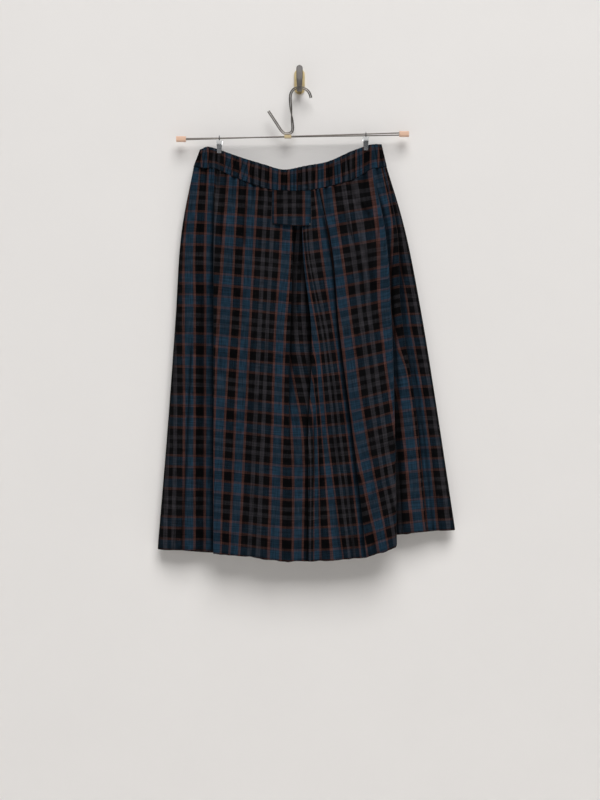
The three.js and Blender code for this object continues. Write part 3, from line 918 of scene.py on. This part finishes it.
THREADS = (
    Thread(0, 0, (-193.6, -206.8, -206.8, -206.8, -206.8)),
    Thread(0, 44.5, (-164.5, -165.4, -165.4, -165.4, -166.4)),
    Thread(1, 117.5, (-123.8, -129.3, -136.1, -145, -156.2)),
    Thread(1, 162.1, (-86.5, -92, -99.5, -108.8, -120)),
    Thread(1, 198.6, (-53, -58.6, -65.1, -73.5, -83.7)),
    Thread(1, 235.1, (-21.4, -25.1, -36.3, -40, -45.6)),
    Thread(3, 352.7, (4, 6, 22, 30.3, 30.7)),
    Thread(3, 374.9, (4, 6, 22, 38.1, 51.1)),
    Thread(3, 397.2, (4, 6, 30.7, 46.8, 77.1)),
    Thread(3, 433.7, (16, 18.6, 47.4, 71.6, 99.4)),
    Thread(3, 470.2, (35, 52, 68.8, 93.8, 121.7)),
    Thread(4, 514.8, (54.8, 68.7, 90, 115, 160.6)),
    Thread(4, 551.3, (93.8, 109.5, 125.3, 149.4, 181)),
    Thread(5, 587.8, (150, 178, 185, 204.4, 226.9)),
    Thread(6, 632.3, (158, 183, 198.5, 230.2, 253.6)),
)


@dataclass(frozen=True)
class Crease:
    """A soft trough, or a ridge where rise is above nothing, that runs down the cloth.

    at is its place as a share of the cloth between two folds at its start and its end, and t
    says how far down the panel it runs.
    """

    name: str
    fold: int
    at: tuple[float, float]
    t: tuple[float, float]
    rise: float
    width: float


CREASES = (
    Crease("left ridge", 0, (0.32, 0.4), (0.2, 1), 3, 12),
    Crease("left flute", 0, (0.6, 0.68), (0.2, 1), -4, 12),
    Crease("hip tuck", 1, (0.1, 0.07), (0.0, 0.22), -4.5, 5),
    Crease("centre swell", 1, (0.45, 0.42), (0.3, 1), -4, 22),
    Crease("knee dent", 3, (0.6, 0.66), (0.5, 0.8), -3, 15),
    Crease("hem flute one", 3, (0.2, 0.17), (0.62, 1), -4, 10),
    Crease("hem flute two", 3, (0.5, 0.55), (0.64, 1), -3, 11),
    Crease("hip crease", 4, (0.5, 0.85), (0, 0.15), -4.5, 5),
    Crease("hip ridge", 4, (0.75, 0.86), (0.18, 0.42), 4, 11),
    Crease("right flute", 6, (0.5, 0.45), (0.3, 1), -3, 9),
    Crease("left under pleat", 0, (0.93, 0.95), (0.05, 1), -3.0, 3.5),
    Crease("left edge line", 0, (0.38, 0.42), (0.4, 1), -5.0, 4),
    Crease("pleat root", 1, (0.03, 0.03), (0.1, 1), -2.5, 3),
    Crease("centre root", 3, (0.93, 0.95), (0.0, 0.9), -3.5, 4),
    Crease("long root", 4, (0.04, 0.05), (0.3, 1), -2.0, 4),
    Crease("bright ridge", 4, (0.5, 0.62), (0.18, 0.36), 3.0, 5),
    Crease("right root", 5, (0.2, 0.2), (0.05, 1), -3.0, 4),
    Crease("right line", 6, (0.2, 0.25), (0.1, 1), -2.6, 4),
    Crease("gather one", 1, (0.3, 0.28), (0, 0.16), 2.2, 5),
    Crease("gather two", 1, (0.4, 0.38), (0, 0.2), -2.4, 4),
    Crease("gather three", 1, (0.55, 0.53), (0, 0.18), 2.0, 5),
    Crease("gather four", 4, (0.2, 0.22), (0, 0.14), 2.2, 5),
    Crease("gather five", 4, (0.33, 0.4), (0, 0.2), -2.6, 4),
    Crease("squeezed column", 3, (0.09, 0.06), (0.5, 0.95), -4.0, 4),
    Crease("fine line one", 1, (0.22, 0.2), (0.5, 1), -1.3, 6),
    Crease("fine line two", 1, (0.72, 0.7), (0.25, 0.95), -1.3, 8),
    Crease("fine line three", 4, (0.3, 0.28), (0.45, 1), -1.6, 8),
    Crease("fine line four", 3, (0.75, 0.78), (0.7, 1), -1.8, 7),
)


@dataclass
class FrontPanel:
    """The front of the skirt, from side seam to side seam, with its long folds."""

    band: Waistband
    wall: float = 0.9
    seam_drop: float = 0.3
    side_roll: float = 34.0
    lap_room: float = 5.0
    lap_full: float = 8.0
    flat_run: float = 3.0
    fold_steps: int = 9
    span_steps: tuple[int, ...] = (24, 48, 8, 24, 34, 14, 16)
    side_ease: float = 1.5
    rows: int = 52
    row_spread: float = 1.15
    crease_end: float = 0.25
    thread_ease: float = 14.0
    check_gain: float = 1.02
    check_start: float = 10.6
    gather: float = 2.6
    gather_end: float = 0.09
    gather_side: tuple[float, float] = (4.0, 20.0)
    gather_runs: tuple[float, float] = (2.4, 7.0)
    crumple: float = 2.0
    crumple_start: tuple[float, float] = (0.02, 0.2)
    crumple_runs: tuple[float, float] = (11.0, 5.0)
    hem_wave: float = 1.3
    hem_start: float = 0.88
    hem_runs: tuple[float, float] = (17.0, 6.0)
    crease_gain: float = 1.9
    columns: list[tuple[int, bool, float]] = field(default_factory=list)

    def __post_init__(self) -> None:
        """Lists the columns: a fold, whether it is on the turn, and the share of the way."""
        last = len(FOLDS) - 1
        for k in range(last + 1):
            if 0 < k < last:
                turns = np.arange(1, self.fold_steps) / self.fold_steps
                self.columns += [(k, True, float(v)) for v in turns]
            if k < last:
                shares = np.linspace(0, 1, self.span_steps[k] + 1)
                if k == 0:
                    shares = shares**self.side_ease
                if k == last - 1:
                    shares = 1 - (1 - shares) ** self.side_ease
                self.columns += [(k, False, float(v)) for v in shares]

    @staticmethod
    def leaving(t: Any) -> Any:
        """Says how far the panels have left the waistband's form: 0 at the seam, 1 at the hip."""
        return smoothstep(t, 0, LEVELS[1])

    def folds_at(self, t: float) -> dict[str, np.ndarray]:
        """Gives every fold at a level.

        Args:
            t: the share of the way down from the seam to the hem.

        Returns:
            An array over the folds for each of its measures.
        """
        def level(key: str) -> np.ndarray:
            """Follows one measure of every fold."""
            return np.array([along(LEVELS, getattr(fold, key), t) for fold in FOLDS], float)

        x, before, after = level("x"), level("before"), level("after")
        step = np.abs(after - before)
        tucked = np.maximum(0, level("tuck") - step) / 4 * smoothstep(t, 0.03, 0.34)
        room = np.maximum(0, step * self.leaving(t) - self.lap_room)
        lap = np.minimum(tucked, room)
        run = self.flat_run / 2 * (1 - clamp01(lap / self.lap_full))
        run[[0, -1]] = 0
        shift = np.where(before > after, 1, -1) * lap
        x = x - shift
        return {
            "x": x, "end": x - run, "start": x + run, "run": run, "lap": lap,
            "before": before, "after": after,
            "left": level("shown_left") - shift, "right": level("shown_right") - shift,
        }

    @staticmethod
    def between(folds: dict[str, np.ndarray], k: int, share: Any) -> Any:
        """Gives the cloth's depth between fold k and the next one, before it is creased."""
        bow = FOLDS[k].crown * 4 * share * (1 - share)
        return lerp(folds["after"][k], folds["before"][k + 1], share) + bow

    def _check(self, folds: dict[str, np.ndarray], k: int, x: np.ndarray, t: float) -> np.ndarray:
        """Gives the place across the check between two folds.

        Args:
            folds: the folds at this level.
            k: the fold on the left.
            x: the places that are asked for.
            t: the level.

        Returns:
            The place across at each x.
        """
        start, end = folds["start"][k], folds["end"][k + 1]
        first, last = folds["right"][k], folds["left"][k + 1]
        spots, places = [start], [first]
        for thread in THREADS:
            inside = min(thread.across - first, last - thread.across)
            if thread.fold != k or inside <= 0:
                continue
            even = lerp(start, end, (thread.across - first) / (last - first))
            known = smoothstep(inside, 0, self.thread_ease)
            spot = lerp(even, float(along(LEVELS, thread.x, t)), known)
            if spots[-1] + 0.5 < spot < end - 0.5:
                spots.append(spot)
                places.append(thread.across)
        return np.interp(x, [*spots, end], [*places, last])

    def _creased(self, k: int, share: np.ndarray, width: float, t: float) -> np.ndarray:
        """Gives how far the creases lift the cloth between two folds.

        Args:
            k: the fold on the left.
            share: the places, as shares of the cloth between the folds.
            width: how wide that cloth is.
            t: the level.

        Returns:
            The lift at each place.
        """
        lift = np.zeros_like(share)
        for crease in CREASES:
            v = (t - crease.t[0]) / (crease.t[1] - crease.t[0])
            if crease.fold != k or not 0 <= v <= 1:
                continue
            fades_out = 1.0 if crease.t[1] == 1 else smoothstep((1 - v) / self.crease_end)
            fades_in = 1.0 if crease.t[0] == 0 else smoothstep(v / self.crease_end)
            away = (share - lerp(crease.at[0], crease.at[1], v)) * width
            ends = np.sin(math.pi * share) ** 0.5
            lift += crease.rise * fades_in * fades_out * ends * bell(away / crease.width)
        return self.crease_gain * lift

    def _through(self, folds: dict[str, np.ndarray], t: float) -> tuple[np.ndarray, ...]:
        """Takes a row through the folds, free of the waistband and the side seams.

        Args:
            folds: the folds at this level.
            t: the level.

        Returns:
            X, depth, the hem's Z and the place across the check, for each column.
        """
        x, depth, hem, across = (np.zeros(len(self.columns)) for _ in range(4))
        kinds = np.array([(k, turned) for k, turned, _ in self.columns])
        shares = np.array([share for _, _, share in self.columns])
        for k, fold in enumerate(FOLDS):
            on = (kinds[:, 0] == k) & (kinds[:, 1] == 1)
            turn = shares[on]
            swing = folds["lap"][k] * np.sin(2 * math.pi * turn)
            x[on] = folds["x"][k] + swing + folds["run"][k] * (2 * turn - 1)
            depth[on] = lerp(folds["before"][k], folds["after"][k], smoothstep(turn))
            hem[on] = lerp(fold.hem[0], fold.hem[1], turn)
            across[on] = lerp(folds["left"][k], folds["right"][k], turn)
            if k == len(FOLDS) - 1:
                break
            on = (kinds[:, 0] == k) & (kinds[:, 1] == 0)
            share = shares[on]
            start, end = folds["start"][k], folds["end"][k + 1]
            x[on] = lerp(start, end, share)
            depth[on] = self.between(folds, k, share) + self._creased(k, share, end - start, t)
            hem[on] = lerp(fold.hem[1], FOLDS[k + 1].hem[0], share)
            across[on] = self._check(folds, k, x[on], t)
        return x, depth, hem, across

    def row(self, t: float) -> tuple[np.ndarray, np.ndarray]:
        """Lays one row of the cloth.

        Args:
            t: the level.

        Returns:
            The row's points and its places on the check.
        """
        folds = self.folds_at(t)
        x, depth, hem, across = self._through(folds, t)
        edge = float(along(LEVELS, EDGE_DEPTH, t))
        near_side = np.minimum(x - folds["x"][0], folds["x"][-1] - x)
        q = clamp01(near_side / self.side_roll)
        seam_z, seam_front, _ = self.band.seam_under(x)
        body = lerp(seam_front, roll(depth, edge, q), self.leaving(t))
        close, wide = self.gather_runs
        pucker = self.gather * (1 - smoothstep(t, 0, self.gather_end))
        pucker = pucker * smoothstep(near_side, *self.gather_side)
        body += pucker * (np.sin(across / close) * 0.6 + wander(across / wide, 0.4) * 0.6)
        long, short = self.crumple_runs
        dents = wander(across / long + 6 * t, 2.0)
        dents = dents + wander(across / short - 9 * t, 4.0) * wander(23 * t, 1.0)
        body += self.crumple * smoothstep(t, *self.crumple_start) * dents * 0.6 * q
        z = lerp(seam_z - self.seam_drop, hem, t)
        long, short = self.hem_runs
        waves = wander(x / long, 0.9) + 0.5 * wander(x / short, 2.9)
        z += self.hem_wave * smoothstep(t, self.hem_start, 1.0) * waves * q
        up = (z - hem) * self.check_gain - self.check_start
        return np.stack([x, body, z], axis=1), np.stack([across, up], axis=1)

    def sheet(self) -> Sheet:
        """Lays the whole panel.

        Returns:
            Its points and its places on the check.
        """
        return lay(self.row, np.linspace(0, 1, self.rows + 1) ** self.row_spread)

    def build(self, finish: CheckCloth) -> bpy.types.Object:
        """Makes and dresses the panel.

        Args:
            finish: its cloth.

        Returns:
            The piece.
        """
        piece = self.sheet().build("front_cloth", self.wall)
        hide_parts("front_panel")
        dress(piece, finish.make())
        return piece


# Back panel


@dataclass(frozen=True)
class Swell:
    """A long soft fold of the back: its place across, its width as a share, and its rise."""

    at: float
    width: float
    rise: float


@dataclass
class BackPanel:
    """The back of the skirt, from side seam to side seam."""

    band: Waistband
    front: FrontPanel
    wall: float = 0.9
    columns: int = 130
    rows: int = 56
    waist: float = 12.0
    low: float = 9.0
    nearest: float = 3.0
    side_step: float = 0.1
    cut: float = 640.0
    column_crowd: float = 0.6
    crease_drift: float = 0.02
    gather: float = 0.8
    gather_end: float = 0.1
    gather_run: float = 2.8
    swells: tuple[Swell, ...] = (
        Swell(0.14, 0.07, 7), Swell(0.33, 0.09, -4), Swell(0.5, 0.08, 6), Swell(0.66, 0.07, -4),
        Swell(0.84, 0.08, 7),
    )
    creases: tuple[Swell, ...] = (
        Swell(0.08, 0.018, 1.8), Swell(0.21, 0.022, -2.2), Swell(0.27, 0.016, 1.6),
        Swell(0.41, 0.02, -2.4), Swell(0.58, 0.018, 2.2), Swell(0.73, 0.022, -1.8),
        Swell(0.79, 0.014, 1.6), Swell(0.92, 0.02, -2.0),
    )
    hem: Five = (-885, -894, -886, -862, -849)

    def row(self, t: float) -> tuple[np.ndarray, np.ndarray]:
        """Lays one row of the cloth, from the right side to the left one.

        Args:
            t: the level.

        Returns:
            The row's points and its places on the check.
        """
        share = np.linspace(1, 0, self.columns + 1)
        p = lerp(share, (1 - np.cos(math.pi * share)) / 2, self.column_crowd)
        folds = self.front.folds_at(t)
        left, right = folds["x"][0], folds["x"][-1]
        x = lerp(left, right, p)
        waves = sum(s.rise * bell((p - s.at) / s.width) for s in self.swells) * t
        drift = self.crease_drift * t
        creased = sum(s.rise * bell((p - s.at - drift) / s.width) for s in self.creases)
        waves = waves + creased * smoothstep(t, 0.1, 0.5)
        free = np.maximum(self.nearest, lerp(self.waist, self.low, t) + waves)
        edge = float(along(LEVELS, EDGE_DEPTH, t)) - self.side_step
        q = clamp01(np.minimum(x - left, right - x) / self.front.side_roll)
        seam_z, _, seam_back = self.band.seam_under(x)
        depth = lerp(seam_back, roll(free, edge, q), self.front.leaving(t))
        across = folds["left"][0] - p * self.cut
        pucker = self.gather * (1 - smoothstep(t, 0, self.gather_end))
        depth += pucker * np.sin(across / self.gather_run) * smoothstep(q, 0, 0.4)
        spots = np.linspace(0, 1, len(self.hem))
        hem = along(spots, self.hem, p)
        z = lerp(seam_z - self.front.seam_drop, hem, t)
        up = (z - hem) * self.front.check_gain - self.front.check_start
        return np.stack([x, depth, z], axis=1), np.stack([across, up], axis=1)

    def build(self, finish: CheckCloth) -> bpy.types.Object:
        """Makes and dresses the panel.

        Args:
            finish: its cloth.

        Returns:
            The piece.
        """
        sheet = lay(self.row, np.linspace(0, 1, self.rows + 1))
        piece = sheet.build("back_cloth", self.wall)
        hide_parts("back_panel")
        dress(piece, finish.make())
        return piece


# Patch


@dataclass
class Patch:
    """The patch over the top of the box pleat, open along its lower edge, and its bar tack."""

    band: Waistband
    front: FrontPanel
    left: float = -51.0
    right: float = 21.0
    height: float = 63.0
    slant: float = 3.0
    stand: float = 2.8
    wall: float = 1.1
    bow_top: float = 1.6
    bow_mouth: float = 6.5
    across: int = 30
    down: int = 22
    grey_middle_x: float = -18.6
    grey_middle_z: float = -233.8
    top_gap: float = 0.5
    ripple_top: tuple[float, float] = (0.35, 5.0)
    ripple: tuple[float, float] = (0.25, 9.0)
    tack: tuple[float, float, float] = (1.5, 0.7, 3.8)
    tack_inset: tuple[float, float, float] = (-1.4, 0.9, 2.0)
    tack_round: float = 0.35

    def _panel_depth(self, k: int, x: float, t: float) -> float:
        """Gives the panel's depth under the patch.

        Args:
            k: the fold on the left.
            x: the place, between that fold and the next one.
            t: the level.

        Returns:
            The depth.
        """
        folds = self.front.folds_at(t)
        start, end = folds["start"][k], folds["end"][k + 1]
        free = self.front.between(folds, k, clamp01((x - start) / (end - start)))
        return float(lerp(self.band.seam_under(x)[1], free, self.front.leaving(t)))

    def build(self, finish: CheckCloth, thread: Plain) -> list[bpy.types.Object]:
        """Makes and dresses the patch and its bar tack.

        Args:
            finish: the patch's cloth.
            thread: the bar tack's thread.

        Returns:
            Both pieces.
        """
        p = np.linspace(0, 1, self.across + 1)
        x = lerp(self.left, self.right, p)
        top = self.band.seam_under(x)[0] - self.front.seam_drop - self.top_gap
        full = float(self.band.seam_under(self.left)[0]) - FOLDS[2].hem[0]
        points, cloth = [], []
        for q in np.linspace(0, 1, self.down + 1):
            drop = (self.height + self.slant * p) * q
            sides = [
                self._panel_depth(k, at, self.height * q / full)
                for k, at in ((1, self.left), (3, self.right))
            ]
            bow = 4 * p * (1 - p) * lerp(self.bow_top, self.bow_mouth, q)
            (high, close), (low, wide) = self.ripple_top, self.ripple
            ripple = high * wander(x / close, 1.1) * (1 - q) + low * wander(x / wide + 4 * q, 0.2)
            depth = lerp(sides[0], sides[1], p) + self.stand + bow + ripple
            z = top - drop
            points.append(np.stack([x, depth, z], axis=1))
            up = GREY_MIDDLE + z - self.grey_middle_z
            cloth.append(np.stack([GREY_MIDDLE + x - self.grey_middle_x, up], axis=1))
        sheet = Sheet(np.array(points), np.array(cloth))
        piece = sheet.build("patch_cloth", self.wall)
        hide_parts("waist_patch")
        dress(piece, finish.make())
        corner = sheet.points[-1, -1] + self.tack_inset
        return [piece, self._bar_tack(corner, thread)]

    def _bar_tack(self, corner: np.ndarray, thread: Plain) -> bpy.types.Object:
        """Makes the short bar of stitches at the patch's right corner.

        Args:
            corner: its middle, as X, depth and Z.
            thread: its thread.

        Returns:
            The piece.
        """
        bm = bmesh.new()
        bmesh.ops.create_cube(bm, size=1.0)
        bmesh.ops.scale(bm, vec=Vector(self.tack) * MM, verts=bm.verts)
        edge = self.tack_round * MM
        bmesh.ops.bevel(
            bm, geom=bm.edges, offset=edge, segments=2, profile=0.5, affect="EDGES", material=-1
        )
        x, depth, z = corner
        bmesh.ops.translate(bm, vec=Vector((x, -depth, z)) * MM, verts=bm.verts)
        piece = to_object(bm, "patch_bar_tack")
        dress(piece, thread.make())
        return piece


# Hanger and wall hook


@dataclass
class Fittings:
    """The hanger, its clips and the wall hook, which keep the frame's own shapes."""

    crease_angle: float = math.radians(38)
    weld: float = 0.02

    def dress(self, node: str, material: bpy.types.Material) -> None:
        """Gives a carried node its material and smooth shading up to its sharp edges.

        Args:
            node: the node's name.
            material: its material.
        """
        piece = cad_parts[node]
        piece.data.materials.clear()
        piece.data.materials.append(material)
        for polygon in piece.data.polygons:
            polygon.use_smooth = True
        weld = piece.modifiers.new("weld", "WELD")
        weld.merge_threshold = self.weld * MM
        split = piece.modifiers.new("sharp edges", "EDGE_SPLIT")
        split.split_angle = self.crease_angle
        LOG.info("%s: carried over", node)

    def build(self) -> None:
        """Dresses every node that is carried over."""
        wire = Metal("drawn_wire", (0.17, 0.155, 0.14), 0.3).make()
        chrome = Metal("bright_chrome", (0.66, 0.67, 0.68), 0.14, wear=0.06).make()
        brass = Metal("dull_brass", (0.62, 0.5, 0.3), 0.34).make()
        plate = Metal("polished_brass", (0.78, 0.62, 0.33), 0.22).make()
        prong = Metal("knurled_metal", (0.25, 0.235, 0.225), 0.34, knurl=2.2).make()
        cap = Plain("peach_plastic", screen(226, 186, 160), 0.5).make()
        finishes = {
            "rod_": wire, "hook_wire_": wire, "clip_": chrome, "cap_": cap,
            "hook_tie": brass, "wall_plate": plate, "wall_prong": prong,
        }
        for start, finish in finishes.items():
            for node in [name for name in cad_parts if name.startswith(start)]:
                self.dress(node, finish)


# Room


@dataclass(frozen=True)
class Lamp:
    """A square soft light: its power in watts, the length of its side and where it hangs."""

    name: str
    power: float
    size: float
    place: tuple[float, float, float]


@dataclass
class Room:
    """The wall, the floor, the lights and the camera, in metres but for the wall's gap."""

    wall_gap: float = 0.4
    wall_size: tuple[float, float] = (7.0, 4.4)
    floor_size: tuple[float, float] = (7.0, 6.0)
    floor_z: float = -1.5
    lamps: tuple[Lamp, ...] = (
        Lamp("key", 830, 6.0, (1.1, -6.6, 6.4)),
        Lamp("fill", 5, 2.4, (-1.6, -3.4, -0.3)),
    )
    aim: tuple[float, float, float] = (0, 0, -0.55)
    air: Colour = (0.93, 0.95, 1.0)
    air_strength: float = 0.08
    eye: tuple[float, float, float] = (0.00095, -2.8, -0.6042)
    lens: float = 66.316
    sensor: float = 36.0

    def _slab(self, name: str, size: tuple[float, float], turn: float, place: Vector) -> bpy.types.Object:
        """Makes a flat stretch of wall or floor.

        Args:
            name: its name.
            size: its width and its depth, in metres.
            turn: how far it is turned up about X.
            place: its middle.

        Returns:
            The object.
        """
        bm = bmesh.new()
        bmesh.ops.create_grid(bm, x_segments=1, y_segments=1, size=0.5)
        bmesh.ops.scale(bm, vec=(*size, 1), verts=bm.verts)
        rotation = Vector((0, 0, 1)).rotation_difference(Vector((0, -math.sin(turn), math.cos(turn))))
        bmesh.ops.rotate(bm, cent=(0, 0, 0), matrix=rotation.to_matrix(), verts=bm.verts)
        bmesh.ops.translate(bm, vec=place, verts=bm.verts)
        slab = to_object(bm, name)
        return slab

    def _hang(self, lamp: Lamp) -> None:
        """Hangs a light and points it at the skirt.

        Args:
            lamp: the light.
        """
        data = bpy.data.lights.new(lamp.name, "AREA")
        data.energy, data.shape, data.size = lamp.power, "SQUARE", lamp.size
        light = bpy.data.objects.new(lamp.name, data)
        light.location = lamp.place
        way = Vector(self.aim) - Vector(lamp.place)
        light.rotation_euler = way.to_track_quat("-Z", "Y").to_euler()
        bpy.context.scene.collection.objects.link(light)

    def build(self) -> None:
        """Builds the room and sets the scene's camera."""
        bpy.context.scene.view_settings.view_transform = "Standard"
        paint = Plain("wall_paint", (0.85, 0.824, 0.802), 0.7, 60, 0.15, 0.03).make()
        boards = Plain("floor_paint", (0.74, 0.73, 0.71), 0.6, 40, 0.1, 0.03).make()
        middle = self.floor_z + self.wall_size[1] / 2
        wall = self._slab(
            "wall", self.wall_size, math.pi / 2, Vector((0, self.wall_gap * MM, middle))
        )
        wall.data.materials.append(paint)
        floor_middle = Vector((0, -self.floor_size[1] / 2, self.floor_z))
        floor = self._slab("floor", self.floor_size, 0.0, floor_middle)
        floor.data.materials.append(boards)
        for lamp in self.lamps:
            self._hang(lamp)
        world = bpy.data.worlds.new("soft_air")
        world.use_nodes = True
        sky = world.node_tree.nodes["Background"]
        sky.inputs["Color"].default_value = (*self.air, 1)
        sky.inputs["Strength"].default_value = self.air_strength
        bpy.context.scene.world = world
        data = bpy.data.cameras.new("eye")
        data.lens, data.sensor_width = self.lens, self.sensor
        camera = bpy.data.objects.new("eye", data)
        camera.location = self.eye
        camera.rotation_euler = (math.pi / 2, 0, 0)
        bpy.context.scene.collection.objects.link(camera)
        bpy.context.scene.camera = camera


def main() -> None:
    """Builds the skirt, dresses the hanger and the hook, and sets the room around them."""
    logging.basicConfig(level=logging.INFO, format="%(message)s")
    band = Waistband()
    front = FrontPanel(band)
    back = BackPanel(band, front)
    patch = Patch(band, front)
    band_piece = band.build(CheckCloth("gathered_check"))
    front_piece = front.build(CheckCloth("front_check"))
    back_piece = back.build(CheckCloth("back_check"))
    pale_thread = Plain("pale_thread", screen(72, 64, 60), 0.8, 900, 0.2)
    patch_piece, tack = patch.build(CheckCloth("patch_check", light=0.9), pale_thread)
    Fittings().build()
    Room().build()


if __name__ == "__main__":
    main()
